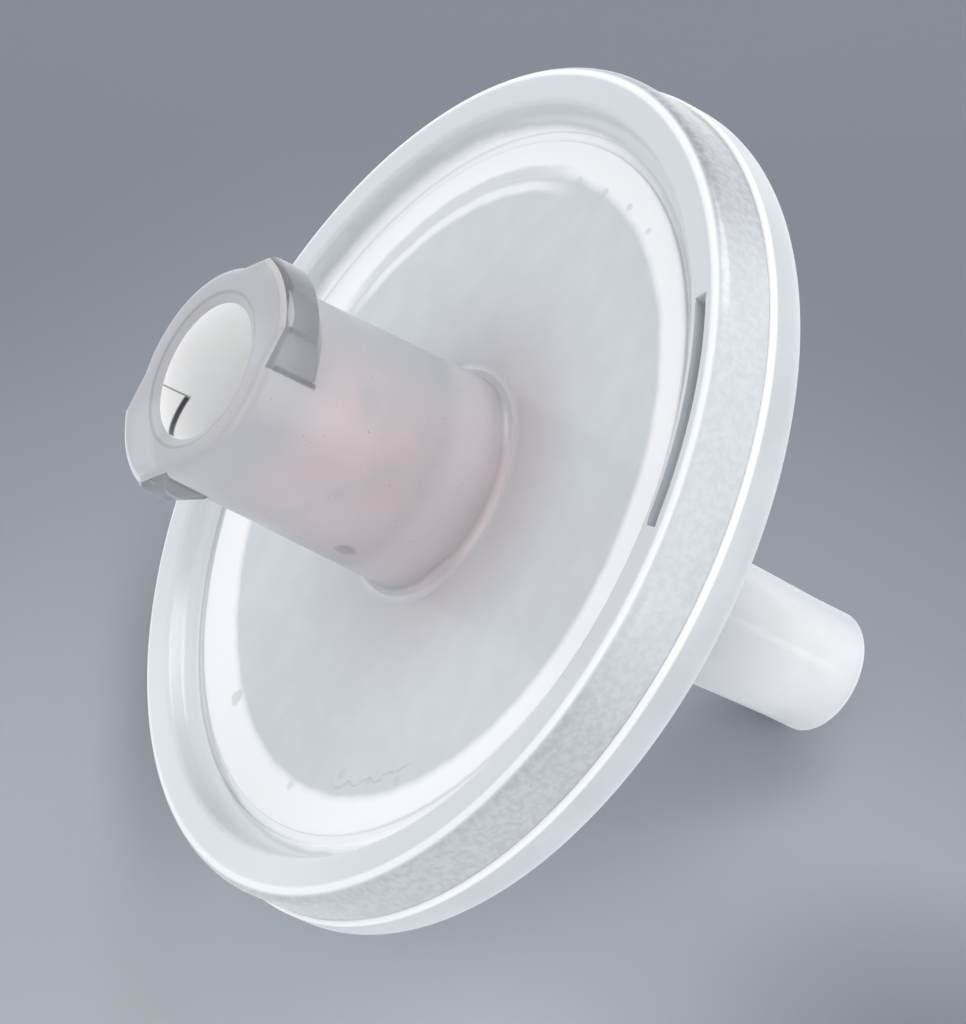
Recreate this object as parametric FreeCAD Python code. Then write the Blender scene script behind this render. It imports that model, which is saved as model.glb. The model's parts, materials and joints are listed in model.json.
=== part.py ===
import FreeCAD, Part
import math
import os
from collections import namedtuple

from FreeCAD import Placement, Rotation, Vector

# Syringe filter: two welded polypropylene half shells with a membrane disc clamped between them.
# It is modelled upright on its flow axis, in millimetres: +Z points to the inlet, z = 0 is the
# weld plane between the half shells, and +X points to the middle of the first lock lug.
# Then all pieces are laid down together, as the filter rests on its rim and its outlet tip.

# ---- driving sizes: disc ----
DISC_R = 13.4            # inlet half, outer wall
FLANGE_PROUD = 0.1       # the outlet half stands this much outside the inlet half
PLATE_WALL = 0.85        # inlet plate, under the flat face
FLOOR_WALL = 0.9         # outlet plate, behind the drains
RIM_RISE = 0.7           # rim top above the flat face
RIM_TOP_WIDTH = 1.3      # rim measured across its top
RIM_DRAFT = 0.2          # the rim's inner wall leans this much over its height

# ---- driving sizes: edges of the disc ----
RIM_BEVEL = 0.4
RIM_INNER_BEVEL = 0.1
FACE_CORNER_BEVEL = 0.15
SEAM_BEVEL = 0.1
BACK_BEVEL = 0.5

# ---- driving sizes: groove in the face and arc slot in the rim ----
FACE_GROOVE_INSET = 0.6  # foot of the rim in to the groove's middle
FACE_GROOVE_WIDTH = 0.3
FACE_GROOVE_DEPTH = 0.12
RIM_SLOT_INSET = 0.85    # outer wall in to the slot's middle
RIM_SLOT_WIDTH = 0.45
RIM_SLOT_DEPTH = 0.9
RIM_SLOT_SPAN = 33.0     # degrees
RIM_SLOT_CLOCK = -35.0   # degrees from +X to the slot's middle

# ---- driving sizes: weld tongue of the inlet half, in a groove of the outlet half ----
TONGUE_INSET = 1.0       # outer wall in to the tongue's middle
TONGUE_WIDTH = 0.5
TONGUE_HEIGHT = 0.5
TONGUE_CLEARANCE = 0.03

# ---- driving sizes: membrane, its seat and clamp, and the ribs on both sides of it ----
MEMBRANE_THICKNESS = 0.15
MEMBRANE_CLEARANCE = 0.05
SEAT_WALL = 0.57         # between the membrane's seat and the weld groove
CLAMP_WIDTH = 2.1        # margin of the membrane that the half shells hold
PLENUM_HEIGHT = 0.35     # space over the membrane
SPACER_COUNT = 6
SPACER_WIDTH = 0.5
SPACER_HEIGHT = 0.2
SPACER_END_GAP = 0.7     # from a spacer's ends to the port and to the clamp
DRAIN_COUNT = 6
DRAIN_WIDTH = 0.7
DRAIN_DEPTH = 0.4
RIB_RINGS = 4
RIB_WIDTH = 0.5

# ---- driving sizes: luer fittings, tapered 6 % on diameter ----
LUER_TAPER = 0.06
SOCKET_MOUTH_R = 2.15
SOCKET_LEAD = 0.3        # conical lead-in at the mouth, in radius
SOCKET_LEAD_DEPTH = 0.15
SOCKET_TAPER_DEPTH = 5.2  # the stretch that seals on a syringe's tip
SOCKET_LAND = 2.5        # parallel bore below the taper, clear of the tip's end
SOCKET_FLOOR_WALL = 1.0  # socket's floor above the inlet face
PORT_R = 1.0             # hole from the socket into the plenum
HUB_WALL = 1.15          # around the socket's mouth
HUB_DRAFT = 0.15         # the hub is this much larger in radius at its base
HUB_FOOT_FILLET = 0.45
HUB_MOUTH_BEVEL = 0.35
SPOUT_LENGTH = 13.2     # back face to the tip
SPOUT_TIP_R = 1.98
SPOUT_NOSE = 1.5         # parallel end of the spout, its bevel included
SPOUT_WALL = 0.93        # at the tip
SPOUT_FOOT_BEVEL = 0.4
SPOUT_TIP_BEVEL = 0.17

# ---- driving sizes: lock lugs ----
LUG_COUNT = 2
LUG_RISE = 0.6           # above the hub's wall
LUG_HEIGHT = 1.7         # along the flow axis
LUG_BASE_SPAN = 86.0     # degrees of the hub's wall that a lug covers
LUG_CREST_SPAN = 48.0    # degrees at its outermost radius
LUG_BEVEL = 0.4
LUG_FLANK = 0.5          # bevel under a lug, where a syringe's thread pulls
LUG_ROOT = 0.4           # the lugs start this deep inside the hub's wall

# ---- how the filter lies ----
REST_CLOCK = 17.0        # degrees about the flow axis from the uppermost side to the first lug

# ---- levels, from the weld plane up ----
CEILING_Z = PLENUM_HEIGHT
FACE_Z = CEILING_Z + PLATE_WALL
RIM_Z = FACE_Z + RIM_RISE
SOCKET_FLOOR_Z = FACE_Z + SOCKET_FLOOR_WALL
SOCKET_LAND_Z = SOCKET_FLOOR_Z + SOCKET_LAND
SOCKET_LEAD_Z = SOCKET_LAND_Z + SOCKET_TAPER_DEPTH
MOUTH_Z = SOCKET_LEAD_Z + SOCKET_LEAD_DEPTH

# ---- levels, from the weld plane down ----
SEAT_Z = -MEMBRANE_THICKNESS
DRAIN_Z = SEAT_Z - DRAIN_DEPTH
BACK_Z = DRAIN_Z - FLOOR_WALL
TIP_Z = BACK_Z - SPOUT_LENGTH
NOSE_Z = TIP_Z + SPOUT_NOSE

# ---- radii, from the outer wall in ----
FLANGE_R = DISC_R + FLANGE_PROUD
RIM_SLOT_R = DISC_R - RIM_SLOT_INSET
RIM_INNER_R = DISC_R - RIM_TOP_WIDTH
RIM_FOOT_R = RIM_INNER_R - RIM_DRAFT
FACE_GROOVE_R = RIM_FOOT_R - FACE_GROOVE_INSET
TONGUE_R = DISC_R - TONGUE_INSET
SEAT_R = TONGUE_R - TONGUE_WIDTH / 2 - TONGUE_CLEARANCE - SEAT_WALL
MEMBRANE_R = SEAT_R - MEMBRANE_CLEARANCE
CLAMP_INNER_R = MEMBRANE_R - CLAMP_WIDTH

# ---- radii of the luer fittings ----
SOCKET_LAND_R = SOCKET_MOUTH_R - SOCKET_TAPER_DEPTH * LUER_TAPER / 2
HUB_MOUTH_R = SOCKET_MOUTH_R + HUB_WALL
HUB_BASE_R = HUB_MOUTH_R + HUB_DRAFT
LUG_R = HUB_MOUTH_R + LUG_RISE
SPOUT_ROOT_R = SPOUT_TIP_R + (SPOUT_LENGTH - SPOUT_NOSE) * LUER_TAPER / 2
SPOUT_BORE_R = SPOUT_TIP_R - SPOUT_WALL

AXIS = Vector(0, 0, 1)
OVERRUN = 1.0            # cutters reach this far past the surface that they open
RIB_ROOT = 0.3           # fused ribs and spacers start this deep inside their plate
EDGE_SHARE = 0.49        # of an edge that the cut at one of its ends may use

Corner = namedtuple("Corner", "radius height bevel fillet", defaults=(0.0, 0.0))


def sharp(radius, height):
    """Corner of an outline, left as it is."""
    return Corner(radius, height)


def bevelled(radius, height, bevel):
    """Corner of an outline, cut off this far back along both of its edges."""
    return Corner(radius, height, bevel=bevel)


def filleted(radius, height, fillet):
    """Corner of an outline, rounded to this radius."""
    return Corner(radius, height, fillet=fillet)


# the two corners that the bench touches
BACK_EDGE = bevelled(FLANGE_R, BACK_Z, BACK_BEVEL)
SPOUT_TIP = bevelled(SPOUT_TIP_R, TIP_Z, SPOUT_TIP_BEVEL)


def corner_points(before, corner, after):
    """The points that a corner leaves in its outline: one if sharp, two if bevelled, or an arc's three.

    A bevel or fillet is cut down where an edge beside the corner is too short to hold it.
    """
    point = Vector(corner.radius, 0, corner.height)
    if not corner.bevel and not corner.fillet:
        return [point]
    to_before = Vector(before.radius, 0, before.height) - point
    to_after = Vector(after.radius, 0, after.height) - point
    half_angle = to_before.getAngle(to_after) / 2
    room = EDGE_SHARE * min(to_before.Length, to_after.Length)
    setback = min(corner.bevel + corner.fillet / math.tan(half_angle), room)
    to_before.normalize()
    to_after.normalize()
    start = point + to_before * setback
    end = point + to_after * setback
    if corner.bevel:
        return [start, end]
    held_radius = setback * math.tan(half_angle)
    inward = (to_before + to_after).normalize()
    centre = point + inward * (setback / math.cos(half_angle))
    return [start, centre - inward * held_radius, end]


def outline_face(corners):
    """Flat face in the XZ plane inside an outline of corners."""
    stretches = []
    for index, corner in enumerate(corners):
        after = corners[(index + 1) % len(corners)]
        stretches.append(corner_points(corners[index - 1], corner, after))
    edges = []
    for index, points in enumerate(stretches):
        if len(points) == 2:
            edges.append(Part.makeLine(*points))
        if len(points) == 3:
            edges.append(Part.Arc(*points).toShape())
        next_points = stretches[(index + 1) % len(stretches)]
        edges.append(Part.makeLine(points[-1], next_points[0]))
    return Part.Face(Part.Wire(edges))


def turned(corners, span=360.0, middle=0.0):
    """Solid made by turning an outline about the flow axis, through a span about a middle angle."""
    solid = outline_face(corners).revolve(Vector(0, 0, 0), AXIS, span)
    solid.rotate(Vector(0, 0, 0), AXIS, 0.0 if span == 360.0 else middle - span / 2)
    return solid


def block(inner_r, outer_r, low_z, high_z):
    """Rectangular outline between two radii and two levels."""
    return [
        sharp(inner_r, low_z),
        sharp(outer_r, low_z),
        sharp(outer_r, high_z),
        sharp(inner_r, high_z),
    ]


def polar(radius, degrees):
    """Point in the weld plane, at a radius and an angle from +X."""
    turn = math.radians(degrees)
    return Vector(radius * math.cos(turn), radius * math.sin(turn), 0)


def mirrored(point):
    """The same point on the other side of the X axis."""
    return Vector(point.x, -point.y, point.z)


def spokes(count, width, inner_r, outer_r, low_z, high_z):
    """Evenly spaced radial bars."""
    bars = []
    for index in range(count):
        bar = Part.makeBox(outer_r - inner_r, width, high_z - low_z,
                           Vector(inner_r, -width / 2, low_z))
        bar.rotate(Vector(0, 0, 0), AXIS, index * 360.0 / count)
        bars.append(bar)
    return bars


def inlet_shell():
    """Turned body of the inlet half: hub with its luer socket, face, rim, tongue and plenum."""
    groove_in = FACE_GROOVE_R - FACE_GROOVE_WIDTH / 2
    groove_out = FACE_GROOVE_R + FACE_GROOVE_WIDTH / 2
    groove_z = FACE_Z - FACE_GROOVE_DEPTH
    tongue_in = TONGUE_R - TONGUE_WIDTH / 2
    tongue_out = TONGUE_R + TONGUE_WIDTH / 2
    return turned([
        sharp(SOCKET_MOUTH_R + SOCKET_LEAD, MOUTH_Z),
        bevelled(HUB_MOUTH_R, MOUTH_Z, HUB_MOUTH_BEVEL),
        filleted(HUB_BASE_R, FACE_Z, HUB_FOOT_FILLET),
        sharp(groove_in, FACE_Z),
        sharp(groove_in, groove_z),
        sharp(groove_out, groove_z),
        sharp(groove_out, FACE_Z),
        bevelled(RIM_FOOT_R, FACE_Z, FACE_CORNER_BEVEL),
        bevelled(RIM_INNER_R, RIM_Z, RIM_INNER_BEVEL),
        bevelled(DISC_R, RIM_Z, RIM_BEVEL),
        bevelled(DISC_R, 0, SEAM_BEVEL),
        sharp(tongue_out, 0),
        sharp(tongue_out, -TONGUE_HEIGHT),
        sharp(tongue_in, -TONGUE_HEIGHT),
        sharp(tongue_in, 0),
        sharp(CLAMP_INNER_R, 0),
        sharp(CLAMP_INNER_R, CEILING_Z),
        sharp(PORT_R, CEILING_Z),
        sharp(PORT_R, SOCKET_FLOOR_Z),
        sharp(SOCKET_LAND_R, SOCKET_FLOOR_Z),
        sharp(SOCKET_LAND_R, SOCKET_LAND_Z),
        sharp(SOCKET_MOUTH_R, SOCKET_LEAD_Z),
    ])


def lock_lug(middle):
    """One luer-lock lug, flush with the mouth: its ends lean in, its underside slopes like a thread."""
    foot_z = MOUTH_Z - LUG_HEIGHT
    ring = turned([
        sharp(HUB_MOUTH_R - LUG_ROOT, foot_z),
        bevelled(LUG_R, foot_z, LUG_FLANK),
        bevelled(LUG_R, MOUTH_Z, LUG_BEVEL),
        sharp(HUB_MOUTH_R - LUG_ROOT, MOUTH_Z),
    ])
    base = polar(HUB_MOUTH_R, LUG_BASE_SPAN / 2)
    crest = polar(LUG_R, LUG_CREST_SPAN / 2)
    beyond = crest + (crest - base).normalize() * OVERRUN
    centre = Vector(0, 0, 0)
    outline = Part.makePolygon([centre, base, beyond, mirrored(beyond), mirrored(base), centre])
    wedge = Part.Face(outline).extrude(AXIS * (MOUTH_Z + OVERRUN))
    lug = ring.common(wedge)
    lug.rotate(centre, AXIS, middle)
    return lug


def make_inlet_housing():
    """Inlet half shell."""
    lugs = [lock_lug(index * 360.0 / LUG_COUNT) for index in range(LUG_COUNT)]
    spacers = spokes(
        SPACER_COUNT, SPACER_WIDTH,
        PORT_R + SPACER_END_GAP, CLAMP_INNER_R - SPACER_END_GAP,
        CEILING_Z - SPACER_HEIGHT, CEILING_Z + RIB_ROOT,
    )
    slot = turned(
        block(
            RIM_SLOT_R - RIM_SLOT_WIDTH / 2, RIM_SLOT_R + RIM_SLOT_WIDTH / 2,
            RIM_Z - RIM_SLOT_DEPTH, RIM_Z + OVERRUN,
        ),
        RIM_SLOT_SPAN, RIM_SLOT_CLOCK,
    )
    return inlet_shell().fuse(lugs + spacers).cut(slot).removeSplitter()


def outlet_shell():
    """Turned body of the outlet half: flange with groove and membrane seat, and the spout."""
    groove_in = TONGUE_R - TONGUE_WIDTH / 2 - TONGUE_CLEARANCE
    groove_out = TONGUE_R + TONGUE_WIDTH / 2 + TONGUE_CLEARANCE
    groove_z = -TONGUE_HEIGHT - TONGUE_CLEARANCE
    return turned([
        sharp(SPOUT_BORE_R, DRAIN_Z),
        sharp(CLAMP_INNER_R, DRAIN_Z),
        sharp(CLAMP_INNER_R, SEAT_Z),
        sharp(SEAT_R, SEAT_Z),
        sharp(SEAT_R, 0),
        sharp(groove_in, 0),
        sharp(groove_in, groove_z),
        sharp(groove_out, groove_z),
        sharp(groove_out, 0),
        bevelled(FLANGE_R, 0, SEAM_BEVEL),
        BACK_EDGE,
        bevelled(SPOUT_ROOT_R, BACK_Z, SPOUT_FOOT_BEVEL),
        sharp(SPOUT_TIP_R, NOSE_Z),
        SPOUT_TIP,
        sharp(SPOUT_BORE_R, TIP_Z),
    ])


def support_ribs():
    """Concentric rings that carry the membrane, broken by the radial drains."""
    pitch = (CLAMP_INNER_R - SPOUT_BORE_R) / (RIB_RINGS + 1)
    rings = []
    for index in range(1, RIB_RINGS + 1):
        ring_r = SPOUT_BORE_R + index * pitch
        outline = block(ring_r - RIB_WIDTH / 2, ring_r + RIB_WIDTH / 2, DRAIN_Z - RIB_ROOT, SEAT_Z)
        rings.append(turned(outline))
    drains = spokes(DRAIN_COUNT, DRAIN_WIDTH, 0.0, CLAMP_INNER_R, DRAIN_Z, OVERRUN)
    return [ring.cut(drains) for ring in rings]


def make_outlet_housing():
    """Outlet half shell."""
    return outlet_shell().fuse(support_ribs()).removeSplitter()


def make_membrane():
    """Filter membrane, a plain disc whose top lies in the weld plane."""
    return Part.makeCylinder(MEMBRANE_R, MEMBRANE_THICKNESS, Vector(0, 0, SEAT_Z))


def bench_tilt():
    """Angle in degrees between the flow axis and the bench, resting on back edge and tip.

    The bench touches one end of each of the two bevels and clears the other end.
    """
    edge_ends = corner_points(sharp(FLANGE_R, 0), BACK_EDGE, sharp(SPOUT_ROOT_R, BACK_Z))
    tip_ends = corner_points(sharp(SPOUT_TIP_R, NOSE_Z), SPOUT_TIP, sharp(SPOUT_BORE_R, TIP_Z))
    widest = []
    for tip_end in tip_ends:
        spans = [edge_end - tip_end for edge_end in edge_ends]
        widest.append(max(math.atan2(span.x, span.z) for span in spans))
    return math.degrees(min(widest))


def bench_placement(upright):
    """Placement that clocks the upright pieces, lays them down and centres the origin under them."""
    lay_down = Rotation(Vector(0, 1, 0), bench_tilt() - 90.0)
    placement = Placement(Vector(0, 0, 0), lay_down.multiply(Rotation(AXIS, REST_CLOCK)))
    laid = Part.makeCompound(upright).transformGeometry(placement.toMatrix())
    box = laid.optimalBoundingBox(False)
    placement.Base = Vector(-box.Center.x, -box.Center.y, -box.ZMin)
    return placement


def main():
    """Build each piece, lay all of them down and write one STEP file for each."""
    pieces = {
        "inlet_housing": make_inlet_housing(),
        "outlet_housing": make_outlet_housing(),
        "membrane": make_membrane(),
    }
    placement = bench_placement(list(pieces.values()))
    os.makedirs("parts", exist_ok=True)
    for name, shape in pieces.items():
        shape.Placement = placement.multiply(shape.Placement)
        shape.exportStep(f"parts/{name}.step")


if __name__ == "__main__":
    main()
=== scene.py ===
"""Looks of a disc-shaped syringe filter lying on its rim and its outlet tip.

Two moulded half shells of milky polypropylene are turned from their outlines, given their lugs,
slot, spacers and ribs, and laid on the bench around a white membrane. Lengths are in millimetres
on the filter's own flow axis, unless a name says otherwise: z = 0 is the weld plane, +z points to
the inlet, and angles about the axis start at the middle of the first lock lug.
"""

import json
import logging
import math
from dataclasses import dataclass, replace
from enum import Enum, IntEnum
from typing import Callable, Iterable, Sequence

import bmesh
import bpy
from mathutils import Matrix, Vector


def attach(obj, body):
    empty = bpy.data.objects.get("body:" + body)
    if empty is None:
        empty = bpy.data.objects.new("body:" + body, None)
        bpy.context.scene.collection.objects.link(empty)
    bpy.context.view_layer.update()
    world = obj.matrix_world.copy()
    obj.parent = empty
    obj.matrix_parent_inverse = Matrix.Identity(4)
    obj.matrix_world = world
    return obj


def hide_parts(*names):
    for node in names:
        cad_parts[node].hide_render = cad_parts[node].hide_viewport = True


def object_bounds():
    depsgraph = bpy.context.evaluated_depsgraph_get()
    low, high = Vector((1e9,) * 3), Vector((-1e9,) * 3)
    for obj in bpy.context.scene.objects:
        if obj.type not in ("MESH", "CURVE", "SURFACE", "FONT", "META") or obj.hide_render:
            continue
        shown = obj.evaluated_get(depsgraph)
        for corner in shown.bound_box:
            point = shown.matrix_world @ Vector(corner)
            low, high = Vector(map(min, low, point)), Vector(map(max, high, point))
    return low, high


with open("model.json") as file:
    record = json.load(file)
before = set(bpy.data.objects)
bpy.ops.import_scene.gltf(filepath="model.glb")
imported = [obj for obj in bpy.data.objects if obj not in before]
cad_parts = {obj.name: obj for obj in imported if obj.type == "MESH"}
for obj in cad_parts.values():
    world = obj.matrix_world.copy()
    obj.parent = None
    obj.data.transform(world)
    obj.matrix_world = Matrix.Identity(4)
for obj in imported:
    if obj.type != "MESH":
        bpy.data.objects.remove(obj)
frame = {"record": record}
cad_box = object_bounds()

logging.basicConfig(level=logging.INFO, format="%(name)s: %(message)s")
log = logging.getLogger("syringe_filter")

MM = 0.001
MICROMETRE = 1e-6
SAME_LEVEL = 1e-3
Colour = tuple[float, float, float]
Reach = tuple[float, float]
Socket = bpy.types.NodeSocket

ANYWHERE: Reach = (-math.inf, math.inf)
ALL_ROUND: Reach = (0.0, math.inf)


def scaled(colour: Colour, factor: float) -> Colour:
    """A colour made darker or lighter, at most white."""
    return tuple(min(1.0, channel * factor) for channel in colour)


def linked(name: str, data: bpy.types.ID) -> bpy.types.Object:
    """Make an object and link it to the scene."""
    made = bpy.data.objects.new(name, data)
    bpy.context.scene.collection.objects.link(made)
    return made


# ---------------------------------------------------------------- the flow axis


@dataclass(frozen=True)
class FlowAxis:
    """Where the filter's own axis lies on the bench.

    Args:
        centre: middle of the weld plane, in metres.
        along: unit vector from the weld plane to the inlet.
        clock_deg: angle about the axis from the uppermost side to the first lock lug.
    """

    centre: Vector
    along: Vector
    clock_deg: float = 17.0

    @classmethod
    def from_mount(cls, record: dict, name: str, height: float) -> "FlowAxis":
        """Read the axis from a stated mount.

        Args:
            record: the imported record.
            name: the mount's name.
            height: the mount's level above the weld plane, in millimetres.

        Returns:
            The flow axis.
        """
        mount = next(m for m in record["mounts"] if m["name"] == name)
        along = Vector(mount["axis"]).normalized()
        return cls(Vector(mount["pos_m"]) - along * height * MM, along)

    def rotation(self) -> Matrix:
        """Turn from the filter's own axes to the bench's."""
        level = Vector((0.0, 1.0, 0.0))
        up_side = level.cross(self.along)
        upright = Matrix((up_side, level, self.along)).transposed()
        return upright @ Matrix.Rotation(math.radians(self.clock_deg), 3, "Z")

    def placement(self) -> Matrix:
        """Matrix from millimetres on the filter's own axes to metres on the bench."""
        scale = Matrix.Scale(MM, 4)
        return Matrix.Translation(self.centre) @ self.rotation().to_4x4() @ scale


# ---------------------------------------------------------------- turned shells


@dataclass(frozen=True)
class Corner:
    """Corner of an outline that is turned about the flow axis.

    Args:
        radius: distance from the flow axis.
        height: level above the weld plane.
        setback: how far back along both edges its rounding starts.
        segments: edges of the rounding.
    """

    radius: float
    height: float
    setback: float = 0.0
    segments: int = 5


@dataclass(frozen=True)
class Spot:
    """Place of a face or an edge about the flow axis: its radius, height and angle in degrees."""

    radius: float
    height: float
    angle: float

    @classmethod
    def of(cls, point: Vector) -> "Spot":
        """The place of a point on the filter's own axes."""
        angle = math.degrees(math.atan2(point.y, point.x))
        return cls(math.hypot(point.x, point.y), point.z, angle)

    def point(self) -> Vector:
        """The place as a point on the filter's own axes."""
        turn = math.radians(self.angle)
        return Vector((self.radius * math.cos(turn), self.radius * math.sin(turn), self.height))

    def in_sector(self, start: float, span: float) -> bool:
        """Whether the angle lies in the sector that starts at one angle and spans another."""
        return (self.angle - start) % 360.0 < span

    def off_line(self, angle: float) -> float:
        """Distance from the line through the flow axis at an angle."""
        return abs(self.radius * math.sin(math.radians(self.angle - angle)))


Chooser = Callable[[Spot], bool]
Mover = Callable[[Spot], Spot]


def level(height: float) -> Reach:
    """The heights that count as one level."""
    return height - SAME_LEVEL, height + SAME_LEVEL


def within(
    heights: Reach = ANYWHERE, radii: Reach = ANYWHERE, sector: Reach = ALL_ROUND,
) -> Chooser:
    """Chooser for places between limits.

    Args:
        heights: lowest and highest level.
        radii: least and greatest distance from the flow axis.
        sector: start and span of the angle, in degrees.

    Returns:
        The chooser.
    """
    return lambda spot: (
        heights[0] < spot.height < heights[1] and radii[0] < spot.radius < radii[1]
        and spot.in_sector(*sector))


def radial_bars(count: int, reach: Reach, half_width: float) -> Chooser:
    """Chooser for evenly spaced bars that point away from the flow axis.

    Args:
        count: bars in a full turn.
        reach: their inner and outer radius.
        half_width: half of their width.

    Returns:
        The chooser, which looks at radius and angle only.
    """
    pitch = 360.0 / count
    return lambda spot: (
        reach[0] < spot.radius < reach[1]
        and spot.off_line(round(spot.angle / pitch) * pitch) < half_width)


class TurnedShell:
    """A closed outline turned about the flow axis and worked on with mesh operators.

    It is turned in STEPS steps. Points nearer than MERGE are one, and points nearer than ON_PLANE
    lie on a cut. Edges are shaded sharp from SHADED_SHARP_DEG on, and count as corners that can
    be rounded from CORNER_DEG on.
    """

    STEPS = 360
    MERGE = 1e-4
    ON_PLANE = 1e-5
    SHADED_SHARP_DEG = 32.0
    CORNER_DEG = 50.0

    def __init__(self, outline: Sequence[Corner]) -> None:
        """Round the outline's corners and turn it.

        Args:
            outline: the corners, in order round the section.
        """
        self.mesh = bmesh.new()
        points = [self.mesh.verts.new((c.radius, 0.0, c.height)) for c in outline]
        self.mesh.faces.new(points)
        for corner, point in zip(outline, points):
            if corner.setback:
                self.bevel([point], "VERTICES", corner.setback, corner.segments)
        bmesh.ops.delete(self.mesh, geom=self.mesh.faces[:], context="FACES_ONLY")
        bmesh.ops.spin(
            self.mesh, geom=self.mesh.verts[:] + self.mesh.edges[:], cent=(0.0, 0.0, 0.0),
            axis=(0.0, 0.0, 1.0), angle=math.tau, steps=self.STEPS, use_merge=True)
        self.close_up()

    def close_up(self) -> None:
        """Merge doubled vertices and point the faces outwards."""
        bmesh.ops.remove_doubles(self.mesh, verts=self.mesh.verts[:], dist=self.MERGE)
        bmesh.ops.recalc_face_normals(self.mesh, faces=self.mesh.faces[:])

    def bevel(self, corners: list, affect: str, offset: float, segments: int) -> None:
        """Round vertices or edges of the mesh."""
        bmesh.ops.bevel(
            self.mesh, geom=corners, offset=offset, offset_type="OFFSET", affect=affect,
            segments=segments, profile=0.5, material=-1, clamp_overlap=affect == "EDGES")

    def round_corners(self, chosen: Chooser, offset: float, segments: int = 3) -> None:
        """Round the sharp edges whose middle is chosen."""
        least = math.radians(self.CORNER_DEG)
        edges = [
            e for e in self.mesh.edges
            if e.calc_face_angle(0.0) > least
            and chosen(Spot.of((e.verts[0].co + e.verts[1].co) / 2))
        ]
        self.bevel(edges, "EDGES", offset, segments)

    def faces(self, chosen: Chooser) -> list[bmesh.types.BMFace]:
        """Faces whose middle is chosen."""
        return [f for f in self.mesh.faces if chosen(Spot.of(f.calc_center_median()))]

    def pull_faces(self, chosen: Chooser, moved: Mover) -> None:
        """Extrude a region of faces and give its vertices new places.

        Args:
            chosen: picks the region's faces.
            moved: gives the new place of a vertex about the flow axis.
        """
        faces = self.faces(chosen)
        made = bmesh.ops.extrude_face_region(self.mesh, geom=faces)["geom"]
        left = [face for face in faces if face.is_valid]
        bmesh.ops.delete(self.mesh, geom=left, context="FACES")
        for vert in (v for v in made if isinstance(v, bmesh.types.BMVert)):
            vert.co = moved(Spot.of(vert.co)).point()

    def raise_faces(self, chosen: Chooser, rise: float) -> None:
        """Extrude a region of faces along the flow axis."""
        self.pull_faces(chosen, lambda spot: replace(spot, height=spot.height + rise))

    def cut_beside_lines(self, chosen: Chooser, count: int, half_width: float) -> None:
        """Cut chosen faces along both sides of evenly spaced lines through the flow axis.

        Args:
            chosen: picks the faces to cut.
            count: lines in a full turn, an even number.
            half_width: distance of a cut from its line.
        """
        for index in range(count // 2):
            turn = math.tau * index / count
            across = Vector((-math.sin(turn), math.cos(turn), 0.0))
            for side in (-half_width, half_width):
                parts = dict.fromkeys(
                    item for f in self.faces(chosen) for item in (*f.verts, *f.edges, f))
                bmesh.ops.bisect_plane(
                    self.mesh, geom=list(parts), dist=self.ON_PLANE, plane_co=across * side,
                    plane_no=across)

    def paint(self, zone: IntEnum, chosen: Chooser) -> None:
        """Give chosen faces the finish of a zone."""
        for face in self.faces(chosen):
            face.material_index = zone.value

    def lay_down(self, name: str, axis: FlowAxis) -> bpy.types.Object:
        """Finish the mesh and lay it on the bench.

        Args:
            name: the piece's name.
            axis: the filter's flow axis on the bench.

        Returns:
            The object, at the origin and unturned, with its place in its mesh.
        """
        self.close_up()
        sharp = math.radians(self.SHADED_SHARP_DEG)
        for face in self.mesh.faces:
            face.smooth = True
        for edge in self.mesh.edges:
            edge.smooth = edge.calc_face_angle(0.0) < sharp
        bmesh.ops.transform(self.mesh, matrix=axis.placement(), verts=self.mesh.verts[:])
        data = bpy.data.meshes.new(name)
        self.mesh.to_mesh(data)
        self.mesh.free()
        piece = linked(name, data)
        piece.modifiers.new("even_shading", "WEIGHTED_NORMAL").keep_sharp = True
        return piece


# ---------------------------------------------------------------- node trees


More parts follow.
